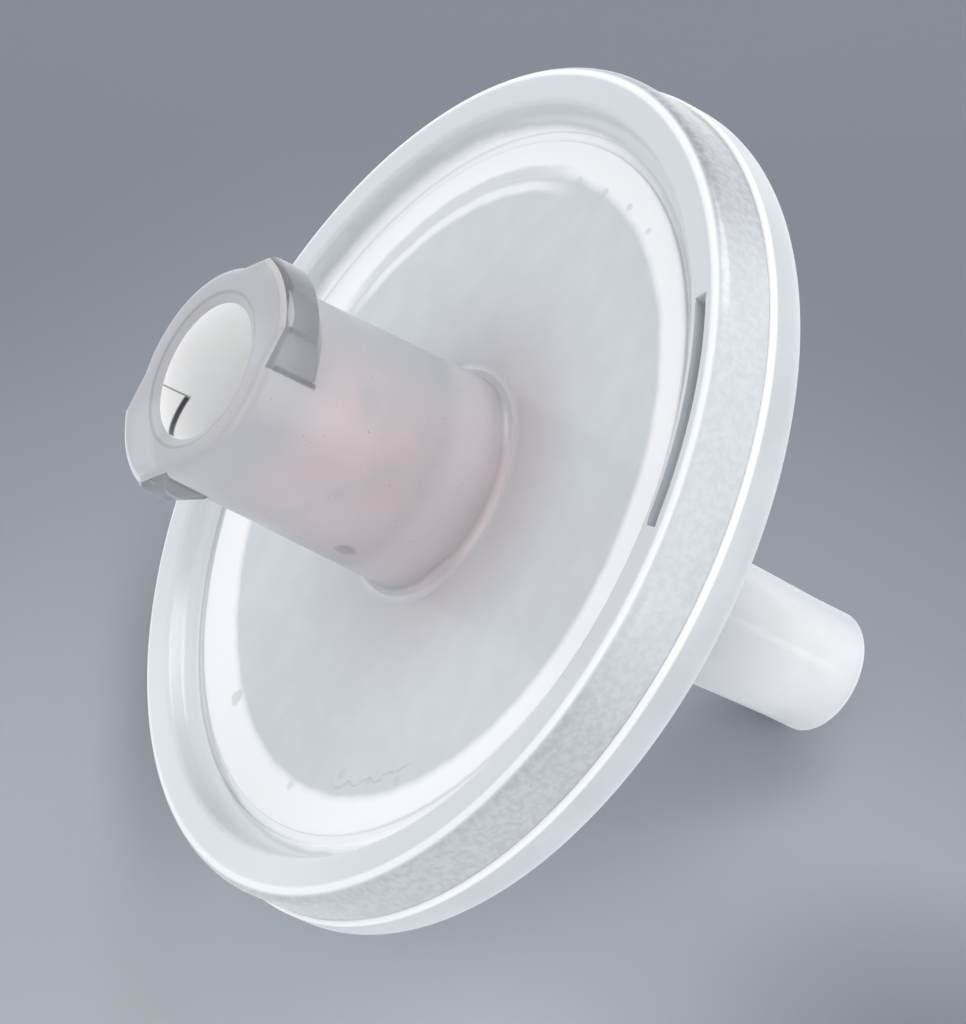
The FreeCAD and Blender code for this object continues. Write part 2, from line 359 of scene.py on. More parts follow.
class Wiring:
    """Short calls that add nodes to a tree and link them."""

    SOFT_BAND = "soft band"

    def __init__(self, tree: bpy.types.NodeTree) -> None:
        """Start from an empty tree."""
        self.tree = tree
        self.tree.nodes.clear()

    def add(self, kind: str, inputs: dict | None = None, **settings: object) -> bpy.types.Node:
        """Add a node.

        Args:
            kind: the node's type.
            inputs: plain values or output sockets for its input sockets, by name or index.
            settings: the node's own properties.

        Returns:
            The node.
        """
        node = self.tree.nodes.new(kind)
        for key, value in settings.items():
            setattr(node, key, value)
        for key, value in (inputs or {}).items():
            self.feed(node.inputs[key], value)
        return node

    def feed(self, socket: Socket, value: object) -> None:
        """Link an output socket to an input socket, or set its plain value."""
        if isinstance(value, Socket):
            self.tree.links.new(value, socket)
        else:
            socket.default_value = value

    def calc(self, operation: str, *terms: object, clamp: bool = False) -> Socket:
        """Result of a Math node."""
        node = self.add("ShaderNodeMath", dict(enumerate(terms)), operation=operation)
        node.use_clamp = clamp
        return node.outputs[0]

    def times(self, first: object, *others: object) -> object:
        """Product of values."""
        for other in others:
            first = self.calc("MULTIPLY", first, other)
        return first

    def plus(self, first: object, second: object) -> Socket:
        """Sum of two values."""
        return self.calc("ADD", first, second)

    def minus(self, first: object, second: object) -> Socket:
        """Difference of two values."""
        return self.calc("SUBTRACT", first, second)

    def part(self, value: object, factor: object, start: object) -> Socket:
        """A start with a part of a value added to it: the value times a factor."""
        return self.calc("MULTIPLY_ADD", value, factor, start)

    def fading(self, value: object, low: object, high: object) -> Socket:
        """1 below one value, 0 above another and a smooth slope between them."""
        return self.minus(1.0, self.slope(value, low, high))

    def blend(self, share: object, base: object, other: object) -> Socket:
        """Colour between two colours, by a share."""
        node = self.add("ShaderNodeMix", data_type="RGBA")
        for index, value in ((0, share), (6, base), (7, other)):
            plain = isinstance(value, tuple)
            self.feed(node.inputs[index], (*value, 1.0) if plain else value)
        return node.outputs[2]

    def wash(self, base: object, other: object, *shares: object) -> Socket:
        """One colour with another over it, as far as the product of the shares says."""
        return self.blend(self.times(*shares), base, other)

    def slope(self, value: object, low: object, high: object) -> Socket:
        """0 below one value, 1 above another and a smooth slope between them."""
        names = {"Value": value, "From Min": low, "From Max": high}
        return self.add("ShaderNodeMapRange", names, interpolation_type="SMOOTHSTEP").outputs[0]

    def noise(self, vector: object, scale: object, detail: float = 2.0, **more: float) -> Socket:
        """Noise over a vector, as one value about 0.5."""
        inputs = {"Vector": vector, "Scale": scale, "Detail": detail}
        inputs.update({key.title(): value for key, value in more.items()})
        return self.add("ShaderNodeTexNoise", inputs).outputs[0]

    def distance(self, vector: object, point: Sequence[float]) -> Socket:
        """Distance of a vector from a fixed point."""
        ends = {0: vector, 1: point}
        return self.add("ShaderNodeVectorMath", ends, operation="DISTANCE").outputs["Value"]

    def between(self, value: object, low: object, high: object, soft: float) -> Socket:
        """Mask that is 1 between two values, with soft ends."""
        band = bpy.data.node_groups[self.SOFT_BAND]
        return self.group(band, value=value, low=low, high=high, soft=soft).outputs["Mask"]

    def group(self, tree: bpy.types.NodeTree, **inputs: object) -> bpy.types.Node:
        """Place a node group and feed its inputs."""
        named = {key.capitalize(): value for key, value in inputs.items()}
        return self.add("ShaderNodeGroup", named, node_tree=tree)


def new_material(name: str) -> bpy.types.Material:
    """Make a material with nodes."""
    material = bpy.data.materials.new(name)
    material.use_nodes = True
    return material


def new_group(
    name: str, inputs: dict[str, float | None], outputs: Sequence[str],
) -> tuple[Wiring, bpy.types.Node, bpy.types.Node]:
    """Make a shader node group with named sockets.

    Args:
        name: the group's name.
        inputs: plain value of each input, or None for a vector.
        outputs: names of the output values.

    Returns:
        Its wiring, its input node and its output node.
    """
    tree = bpy.data.node_groups.new(name, "ShaderNodeTree")
    for key, value in inputs.items():
        kind = "NodeSocketVector" if value is None else "NodeSocketFloat"
        socket = tree.interface.new_socket(key, in_out="INPUT", socket_type=kind)
        if value is not None:
            socket.default_value = value
    for key in outputs:
        tree.interface.new_socket(key, in_out="OUTPUT", socket_type="NodeSocketFloat")
    wiring = Wiring(tree)
    return wiring, wiring.add("NodeGroupInput"), wiring.add("NodeGroupOutput")


class Effects:
    """The node groups that the finishes share, built once."""

    SCRATCH_TURN = (0.4, 0.2, 0.9)
    SCRATCH_STRETCH = (0.22, 1.6, 1.0)
    SCRATCH_WIDTH = 0.012
    PATCH_SCALE = 0.45
    PATCH_EDGE = (0.75, 0.78)

    def __init__(self, axis: FlowAxis) -> None:
        """Build each group.

        Args:
            axis: the filter's flow axis, which the patterns follow.
        """
        self.axis = axis
        self._band()
        self.skin = self._skin()
        self.marks = self._marks()

    def _band(self) -> None:
        """Mask that is 1 between two values, with soft ends, which Wiring finds by its name."""
        names = {"Value": 0.0, "Low": 0.0, "High": 1.0, "Soft": 0.1}
        wiring, enter, leave = new_group(Wiring.SOFT_BAND, names, ["Mask"])
        value, low, high, soft = (enter.outputs[key] for key in names)
        low_end, high_end = (
            wiring.slope(value, wiring.minus(end, soft), wiring.plus(end, soft))
            for end in (low, high))
        mask = wiring.calc("SUBTRACT", low_end, high_end, clamp=True)
        wiring.feed(leave.inputs["Mask"], mask)

    def _skin(self) -> bpy.types.NodeTree:
        """Moulded plastic skin: a fine grain for the bump and a slow drift of tone."""
        names = {"Vector": None, "Grain": 9.0, "Drift": 0.35}
        wiring, enter, leave = new_group("moulded skin", names, ["Height", "Tone"])
        vector, grain, drift = (enter.outputs[key] for key in names)
        wiring.feed(leave.inputs["Height"], wiring.noise(vector, grain, 3.0, roughness=0.6))
        wiring.feed(leave.inputs["Tone"], wiring.noise(vector, drift))
        return wiring.tree

    def _marks(self) -> bpy.types.NodeTree:
        """Handling marks: short scratches in patches."""
        names = {"Vector": None, "Scale": 1.0, "Share": 0.3}
        wiring, enter, leave = new_group("handling marks", names, ["Scratches"])
        vector, scale, share = (enter.outputs[key] for key in names)
        stretched = wiring.add("ShaderNodeMapping", {
            "Vector": vector, "Rotation": self.SCRATCH_TURN, "Scale": self.SCRATCH_STRETCH,
        }).outputs[0]
        lines = wiring.noise(stretched, scale, 5.0, roughness=0.7, distortion=0.6)
        ridge = wiring.calc("ABSOLUTE", wiring.minus(lines, 0.5))
        patches = wiring.slope(
            wiring.noise(vector, self.PATCH_SCALE), wiring.minus(self.PATCH_EDGE[0], share),
            self.PATCH_EDGE[1])
        thin = wiring.fading(ridge, 0.0, self.SCRATCH_WIDTH)
        wiring.feed(leave.inputs["Scratches"], wiring.times(thin, patches))
        return wiring.tree


class Canvas(Wiring):
    """Wiring of a material that knows the place of the shaded point on the filter's own axes."""

    def __init__(self, tree: bpy.types.NodeTree, effects: Effects) -> None:
        """Read the place: a vector, its height and its radius in millimetres, and its angle.

        Args:
            tree: the material's nodes.
            effects: the shared node groups.
        """
        super().__init__(tree)
        self.effects = effects
        self.vector = self.add("ShaderNodeMapping", {
            "Vector": self.add("ShaderNodeTexCoord").outputs["Object"],
            "Location": effects.axis.centre,
            "Rotation": effects.axis.rotation().to_euler(),
            "Scale": (MM, MM, MM),
        }, vector_type="TEXTURE").outputs[0]
        x, y, self.height = self.add("ShaderNodeSeparateXYZ", {0: self.vector}).outputs
        self.radius = self.calc("SQRT", self.part(x, x, self.times(y, y)))
        self.angle = self.calc("ARCTAN2", y, x)

    def wave(self, peak_deg: float, times: float = 1.0, size: float = 1.0) -> Socket:
        """Cosine of the angle, with its peak at one angle, once or more in a full turn."""
        turned = self.part(self.angle, times, -math.radians(peak_deg) * times)
        return self.times(self.calc("COSINE", turned), size)


# ---------------------------------------------------------------- finishes


@dataclass(frozen=True)
class Facing:
    """A side of the filter about its flow axis.

    Args:
        middle_deg: angle of its middle.
        start: cosine of the angle from its middle where it starts.
        full: cosine of that angle where it is full.
    """

    middle_deg: float
    start: float
    full: float

    def mask(self, on: Canvas) -> Socket:
        """1 on this side, 0 on the others and a smooth slope between them."""
        return on.slope(on.wave(self.middle_deg), self.start, self.full)


@dataclass(frozen=True)
class Span:
    """A stretch between two values, with soft ends."""

    low: float
    high: float
    soft: float

    def mask(self, on: Canvas, value: object) -> Socket:
        """1 in the stretch and 0 outside it."""
        return on.between(value, self.low, self.high, self.soft)


@dataclass(frozen=True)
class Fleck:
    """A small blemish in the plastic.

    Args:
        point: its middle on the filter's own axes.
        size: its radius.
        share: how far it hides the colour round it.
        tone: its own colour.
    """

    point: tuple[float, float, float]
    size: float
    share: float
    tone: Colour

    FADE = 1.5

    def over(self, on: Canvas, colour: object, wander: object) -> Socket:
        """The colour with the fleck on it, its edge broken up by a shared noise."""
        reach = on.part(wander, self.size, on.distance(on.vector, self.point))
        mask = on.fading(reach, self.size, self.size * self.FADE)
        return on.wash(colour, self.tone, mask, self.share)


@dataclass(frozen=True)
class Plastic:
    """Milky moulded polypropylene.

    Args:
        name: the material's name.
        colour: its own colour.
        clear: share of the light that passes through, from 0 to 1.
        scatter: share of the light that scatters below the surface.
        roughness: of its surface.
        grain: scale of its fine grain, per millimetre.
        relief: depth of that grain, in micrometres.
        drift: how much its tone wanders.
        coat: weight of the glossy skin.
        flecks: blemishes in it.
    """

    name: str
    colour: Colour
    clear: float = 0.3
    scatter: float = 0.0
    roughness: float = 0.3
    grain: float = 9.0
    relief: float = 4.0
    drift: float = 0.04
    coat: float = 0.2
    flecks: tuple[Fleck, ...] = ()

    IOR = 1.49
    SCATTER_DEPTH = 1.5
    COAT_ROUGHNESS = 0.12
    GRAIN_ROUGHNESS = 0.12
    DRIFT_EDGE = (0.3, 0.7)
    FLECK_SCALE = 3.0

    def paint(self, on: Canvas) -> Socket:
        """Base colour, with the slow drift of its tone and its blemishes.

        Args:
            on: the material's nodes and the place of the shaded point.

        Returns:
            The colour's socket.
        """
        tone = on.group(on.effects.skin, vector=on.vector).outputs["Tone"]
        ends = scaled(self.colour, 1.0 - self.drift), scaled(self.colour, 1.0 + self.drift)
        colour = on.blend(on.slope(tone, *self.DRIFT_EDGE), *ends)
        return self.flecked(on, colour)

    def flecked(self, on: Canvas, colour: object) -> object:
        """The colour with all the blemishes on it."""
        if self.flecks:
            wander = on.noise(on.vector, self.FLECK_SCALE)
            for fleck in self.flecks:
                colour = fleck.over(on, colour, wander)
        return colour

    def relief_height(self, on: Canvas) -> Socket:
        """Height of the fine grain."""
        return on.group(on.effects.skin, vector=on.vector, grain=self.grain).outputs["Height"]

    def build(self, effects: Effects) -> bpy.types.Material:
        """Make the material.

        Args:
            effects: the shared node groups.

        Returns:
            The material.
        """
        material = new_material(self.name)
        on = Canvas(material.node_tree, effects)
        colour = self.paint(on)
        height = self.relief_height(on)
        bump = on.add("ShaderNodeBump", {
            "Strength": 1.0, "Distance": self.relief * MICROMETRE, "Height": height})
        shader = on.add("ShaderNodeBsdfPrincipled", {
            "Base Color": colour,
            "Roughness": on.part(on.minus(height, 0.5), self.GRAIN_ROUGHNESS, self.roughness),
            "IOR": self.IOR,
            "Normal": bump.outputs[0],
            "Transmission Weight": self.clear,
            "Subsurface Weight": self.scatter,
            "Subsurface Radius": (1.0, 1.0, 1.0),
            "Subsurface Scale": self.SCATTER_DEPTH * MM,
            "Coat Weight": self.coat,
            "Coat Roughness": self.COAT_ROUGHNESS,
        })
        on.add("ShaderNodeOutputMaterial", {"Surface": shader.outputs[0]})
        return material


@dataclass(frozen=True)
class FacePlastic(Plastic):
    """The inlet half's flat face and rim, with the clamped margin of the membrane showing white.

    The field lies inside the margin, and the rim and the outer wall outside it. The margin's
    edges are egg-shaped, shifted to one side and a little ragged. On its upper side its inner
    edge is split by a grey line, with a white arc inside that.
    """

    margin: Colour = (0.94, 0.95, 0.98)
    inner: Colour = (0.62, 0.655, 0.695)
    # painted shadow of the hub on the field, tinted by the hub
    hub_shadow: Colour = (0.5, 0.46, 0.47)
    # grey for the hair line, and for the painted shade round the hub's foot and at the rim's foot
    line: Colour = (0.5, 0.53, 0.57)
    wall: Colour = (0.46, 0.485, 0.51)
    # painted highlight on one side of the outer wall, and painted shade on its top
    wall_highlight: Colour = (0.61, 0.64, 0.675)
    wall_top_shade: Colour = (0.3, 0.315, 0.335)
    # white for the painted highlight on the rim's edge and the lighter grain of the wall
    lit: Colour = (0.95, 0.97, 1.0)

    wobble_scale: float = 1.1
    ragged: float = 0.18
    margin_low: float = 9.95
    margin_high: float = 11.45
    margin_soft: float = 0.2
    margin_lead_in: float = 0.15
    shift: float = 0.3
    shift_deg: float = -40.0
    egg_deg: float = 80.0
    egg_low: float = 0.15
    egg_high: float = 0.35
    upper: Facing = Facing(68.0, 0.8, 0.95)
    split: Span = Span(-0.05, 0.3, 0.1)
    arc: Span = Span(-0.55, -0.2, 0.12)
    upper_share: float = 0.8
    rim_foot_shade: Span = Span(0.1, 0.24, 0.06)
    foot_share: float = 0.45

    mottle_scale: float = 0.8
    mottle_edge: Reach = (0.35, 0.7)
    mottle_tone: float = 0.96
    hub_shadow_reach: Reach = (3.6, 7.6)
    hub_shadow_deg: float = -48.0
    hub_shadow_wave: float = 0.4
    hub_shadow_share: float = 0.45
    hair: Span = Span(9.5, 9.58, 0.05)
    hair_wander: float = 1.2
    hair_side: Facing = Facing(-123.0, 0.975, 0.985)
    hub_foot_shade_r: float = 3.95
    hub_foot_shade_wander: float = 0.5
    hub_foot_shade_edge: Reach = (0.03, 0.12)
    hub_foot_shade_deg: float = -95.0
    hub_foot_shade_share: float = 0.3

    rim_highlight_side: Facing = Facing(-165.0, 0.6, 0.95)
    rim_highlight: float = 1.14
    wall_edge: Reach = (13.2, 13.3)
    wall_highlight_side: Facing = Facing(-40.0, 0.75, 0.96)
    wall_shade_side: Facing = Facing(45.0, 0.5, 0.85)
    wall_grain: float = 4.5
    wall_grain_edge: Reach = (0.35, 0.65)
    wall_grain_share: float = 0.16
    coarse_side: Facing = Facing(-40.0, 0.93, 0.98)
    coarse_scale: float = 2.6
    coarse_depth: float = 14.0
    crest: Span = Span(11.12, 11.42, 0.07)
    crest_edge: Reach = (12.7, 12.9)
    crest_share: float = 0.85

    def inside(self, on: Canvas, wobble: object) -> Socket:
        """Colour of the field: mottled grey, a hair line, a painted shadow of the hub to one side
        and painted shade round the hub's foot.
        """
        mottle = on.slope(on.noise(on.vector, self.mottle_scale), *self.mottle_edge)
        colour = on.blend(mottle, scaled(self.inner, self.mottle_tone), self.inner)
        # Painted shadow of the hub, darkest on one side of it.
        near = on.fading(on.radius, *self.hub_shadow_reach)
        side = on.wave(self.hub_shadow_deg, size=self.hub_shadow_wave)
        colour = on.wash(colour, self.hub_shadow, near, on.plus(side, self.hub_shadow_share))
        wavy = self.hair.mask(on, on.part(wobble, self.hair_wander, on.radius))
        colour = on.wash(colour, self.line, wavy, self.hair_side.mask(on))
        # Painted shade in a thin ring round the hub's foot, stronger on two opposite sides.
        foot = on.minus(on.part(wobble, self.hub_foot_shade_wander, on.radius), self.hub_foot_shade_r)
        hub_foot_shade = on.fading(on.calc("ABSOLUTE", foot), *self.hub_foot_shade_edge)
        sides = on.wave(self.hub_foot_shade_deg, 2.0, self.hub_foot_shade_share)
        return on.wash(colour, self.line, hub_foot_shade, on.plus(sides, self.hub_foot_shade_share))

    def outer_wall(self, on: Canvas) -> Socket:
        """Colour of the outer wall: grey, a painted highlight on one side, painted shade on top,
        finely grained.
        """
        # Painted highlight on one side of the wall and painted shade on its top.
        wall = on.blend(self.wall_highlight_side.mask(on), self.wall, self.wall_highlight)
        wall = on.blend(self.wall_shade_side.mask(on), wall, self.wall_top_shade)
        grain = on.noise(on.vector, self.wall_grain, 3.0)
        mottled = on.slope(grain, *self.wall_grain_edge)
        return on.wash(wall, self.lit, mottled, self.wall_grain_share)

    def paint(self, on: Canvas) -> Socket:
        """Base colour by radius: field, split white margin, painted shade at the rim's foot, rim
        with a painted highlight on one side, wall, painted highlight on the rim's edge.
        """
        wobble = on.minus(on.noise(on.vector, self.wobble_scale, 3.0), 0.5)
        ragged = on.part(wobble, self.ragged, on.radius)
        egg = on.wave(self.egg_deg, 2.0)
        shifted = on.plus(self.margin_low, on.wave(self.shift_deg, size=self.shift))
        low = on.part(egg, self.egg_low, shifted)
        high = on.part(egg, self.egg_high, self.margin_high)
        past_low, past_high = on.minus(ragged, low), on.minus(ragged, high)

        # The rim is painted lighter on one side: a painted highlight.
        rim = on.blend(self.rim_highlight_side.mask(on), self.colour, scaled(self.colour, self.rim_highlight))
        outside = on.slope(ragged, on.minus(low, self.margin_lead_in), low)
        colour = on.blend(outside, self.inside(on, wobble), rim)
        white = on.between(ragged, low, high, self.margin_soft)
        colour = on.blend(white, colour, self.margin)
        upper = self.upper.mask(on)
        for span, tone in ((self.split, self.inner), (self.arc, self.margin)):
            mask = span.mask(on, past_low)
            colour = on.wash(colour, tone, upper, mask, self.upper_share)
        # Painted shade in a thin ring at the foot of the rim, just outside the white margin.
        foot = self.rim_foot_shade.mask(on, past_high)
        colour = on.wash(colour, self.line, foot, self.foot_share)

        on_wall = on.slope(on.radius, *self.wall_edge)
        colour = on.blend(on_wall, colour, self.outer_wall(on))
        # Painted highlight along the rim's rounded outer edge.
        crest = self.crest.mask(on, on.minus(on.radius, on.height))
        on_rim = on.slope(on.radius, *self.crest_edge)
        colour = on.wash(colour, self.lit, crest, on_rim, self.crest_share)
        return self.flecked(on, colour)

    def relief_height(self, on: Canvas) -> Socket:
        """Height of the fine grain, coarser on one stretch of the outer wall."""
        fine = super().relief_height(on)
        coarse = on.noise(on.vector, self.coarse_scale, 3.0)
        share = on.times(on.slope(on.radius, *self.wall_edge), self.coarse_side.mask(on))
        return on.part(on.times(coarse, share), self.coarse_depth, fine)


@dataclass(frozen=True)
class BandPlastic(Plastic):
    """The outlet half's edge band, scratched, whose corner at the weld catches the light."""

    # white for the scratches and the painted highlight along the weld
    lit: Colour = (0.97, 0.98, 1.0)
    lit_span: Span = Span(-0.2, 0.05, 0.06)
    scratch_scale: float = 3.0
    scratch_patches: float = 0.4
    scratch_share: float = 0.3

    def paint(self, on: Canvas) -> Socket:
        """Base colour with scratches and a painted highlight along the weld."""
        marks = on.group(
            on.effects.marks, vector=on.vector, scale=self.scratch_scale,
            share=self.scratch_patches)
        colour = on.wash(
            super().paint(on), self.lit, marks.outputs["Scratches"], self.scratch_share)
        # Painted highlight along the corner at the weld.
        return on.blend(self.lit_span.mask(on, on.height), colour, self.lit)


@dataclass(frozen=True)
class SpoutPlastic(Plastic):
    """The outlet spout, with painted shade on its upper side and where it leaves the back face."""

    # painted shade on the spout's upper side and near the back face
    root: Colour = (0.48, 0.505, 0.53)
    root_shade_reach: Reach = (-12.4, -6.0)
    upper: Facing = Facing(60.0, 0.0, 0.9)
    upper_share: float = 0.7

    def paint(self, on: Canvas) -> Socket:
        """Base colour along the spout, with the painted shade."""
        # Painted shade on the upper side and at the root.
        above = on.times(self.upper.mask(on), self.upper_share)
        share = on.calc("MAXIMUM", on.slope(on.height, *self.root_shade_reach), above)
        return on.blend(share, super().paint(on), self.root)


@dataclass(frozen=True)
class LuerPlastic(Plastic):
    """The hub and its lock lugs: warm in the middle, grey near the mouth, with a painted glow above
    its foot, painted shade at the lugs' ends and round the foot, and a dark line at the mouth's
    edge.
    """

    grey: Colour = (0.6, 0.6, 0.63)
    # painted glow of the hub just above its foot
    foot: Colour = (0.95, 0.88, 0.92)
    # dark for the line at the mouth's edge, and for the painted shade at the lugs' ends and round
    # the hub's foot
    line: Colour = (0.22, 0.22, 0.25)
    warm: Span = Span(0.6, 8.0, 0.9)
    warm_side: Facing = Facing(-72.0, 0.35, 0.95)
    cloud_scale: float = 0.45
    cloud_edge: Reach = (0.2, 0.5)
    foot_glow: Span = Span(1.8, 3.2, 0.5)
    foot_share: float = 0.6
    lug_end_deg: float = 42.0
    lug_end_shade: Span = Span(-0.02, 0.03, 0.015)
    lug_span: Span = Span(8.2, 9.75, 0.05)
    lug_end_shade_share: float = 0.9
    bore_edge: Span = Span(2.4, 2.5, 0.03)
    bore_front: Reach = (9.85, 9.95)
    bore_share: float = 0.35
    hub_foot_shade: Span = Span(1.72, 1.86, 0.06)
    hub_foot_shade_wander: float = 0.3
    hub_foot_shade_share: float = 0.25

    def paint(self, on: Canvas) -> Socket:
        """Base colour with the warm middle, a painted glow and painted shade near the foot, painted
        shade at the lugs' ends and a dark line at the mouth's edge.
        """
        cloudy = on.slope(on.noise(on.vector, self.cloud_scale), *self.cloud_edge)
        colour = on.wash(
            self.grey, super().paint(on),
            self.warm.mask(on, on.height), self.warm_side.mask(on), cloudy)
        # Painted glow: the hub is lighter just above its foot.
        glow = self.foot_glow.mask(on, on.height)
        colour = on.wash(colour, self.foot, glow, self.foot_share)

        # Painted shade along each lug's end, where it meets the hub.
        aside = on.calc("ABSOLUTE", on.plus(on.angle, math.pi / 2))
        past_end = on.minus(aside, math.radians(90.0 - self.lug_end_deg))
        ends = on.times(
            self.lug_end_shade.mask(on, past_end), self.lug_span.mask(on, on.height),
            self.lug_end_shade_share)
        bore = on.times(
            self.bore_edge.mask(on, on.radius),
            on.slope(on.height, *self.bore_front), self.bore_share)
        # Painted shade in a thin ring just above the hub's foot.
        wander = on.part(cloudy, self.hub_foot_shade_wander, on.height)
        hub_foot_shade = self.hub_foot_shade.mask(on, wander)
        dark = on.calc("MULTIPLY_ADD", hub_foot_shade, self.hub_foot_shade_share, on.plus(ends, bore), clamp=True)
        return on.blend(dark, colour, self.line)


@dataclass(frozen=True)
class SocketPlastic(Plastic):
    """The socket's wall, through which the second lug's outline shows dark.

    One line of the outline runs along the wall at the start angle. The other climbs from its
    foot to the end angle, by so many millimetres for each radian.
    """

    line: Colour = (0.05, 0.05, 0.06)
    start_deg: float = 147.0
    end_deg: float = 203.0
    start_z: float = 8.96
    mouth_z: float = 10.0
    climb: float = 0.83
    side_line: Span = Span(-0.012, 0.012, 0.01)
    side_soft: float = 0.05
    side_share: float = 0.7
    low_line: Span = Span(-0.06, 0.12, 0.04)
    low_soft: float = 0.04

    def paint(self, on: Canvas) -> Socket:
        """Base colour with a thin line along the wall and a heavier one that climbs."""
        colour = super().paint(on)
        angle = on.calc("WRAP", on.angle, math.tau, 0.0)
        start, end = math.radians(self.start_deg), math.radians(self.end_deg)
        side = on.times(
            self.side_line.mask(on, on.minus(angle, start)),
            on.between(on.height, self.start_z, self.mouth_z, self.side_soft),
            self.side_share)
        climbed = on.part(angle, -self.climb, on.height)
        low = on.times(
            self.low_line.mask(on, on.minus(climbed, self.start_z - start * self.climb)),
            on.between(angle, start, end, self.low_soft))
        return on.blend(on.calc("MAXIMUM", side, low), colour, self.line)


# ---------------------------------------------------------------- the pieces


class InletZone(IntEnum):
    """Finish zones of the inlet half."""

    INSIDE = 0
    FACE = 1
    HUB = 2
    LUG = 3
    SOCKET = 4
    SLOT = 5


class OutletZone(IntEnum):
    """Finish zones of the outlet half."""

    INSIDE = 0
    BAND = 1
    BACK = 2
    SPOUT = 3


class MembraneZone(IntEnum):
    """Finish zones of the membrane."""

    FILM = 0


class CadNode(Enum):
    """The solids that the pieces stand for."""

    INLET = "inlet_housing"
    OUTLET = "outlet_housing"
    MEMBRANE = "membrane"


@dataclass(frozen=True)
class FilterSizes:
    """Sizes that the half shells and the membrane share."""

    disc_r: float = 13.4
    flange_proud: float = 0.1
    seat_z: float = -0.15
    clamp_inner_r: float = 9.4
    membrane_r: float = 11.5
    tongue_r: float = 12.4
    tongue_width: float = 0.5
    tongue_height: float = 0.5
    tongue_clearance: float = 0.03
    luer_taper: float = 0.06

    @property
    def flange_r(self) -> float:
        """Outer radius of the outlet half."""
        return self.disc_r + self.flange_proud

    def tongue_walls(self, clearance: float = 0.0) -> Reach:
        """Inner and outer radius of the weld tongue, or of its groove with a clearance."""
        half = self.tongue_width / 2 + clearance
        return self.tongue_r - half, self.tongue_r + half


@dataclass
class FilterPiece:
    """A piece of the filter: an outline that is turned, worked on and dressed zone by zone."""

    sizes: FilterSizes = FilterSizes()

    PIECE_NAME = ""

    def outline(self) -> list[Corner]:
        """The section, in order round it."""
        raise NotImplementedError

    def work(self, shell: TurnedShell) -> None:
        """Shape the turned shell and give each stretch of its surface its zone."""

    def finishes(self) -> dict[IntEnum, Plastic]:
        """The finish of each zone, in the zones' order."""
        raise NotImplementedError

    def build(self, axis: FlowAxis, effects: Effects) -> bpy.types.Object:
        """Model the piece and dress it.

        Args:
            axis: the filter's flow axis.
            effects: the shared node groups.

        Returns:
            The piece.
        """
        shell = TurnedShell(self.outline())
        self.work(shell)
        piece = shell.lay_down(self.PIECE_NAME, axis)
        for finish in self.finishes().values():
            piece.data.materials.append(finish.build(effects))
        return piece


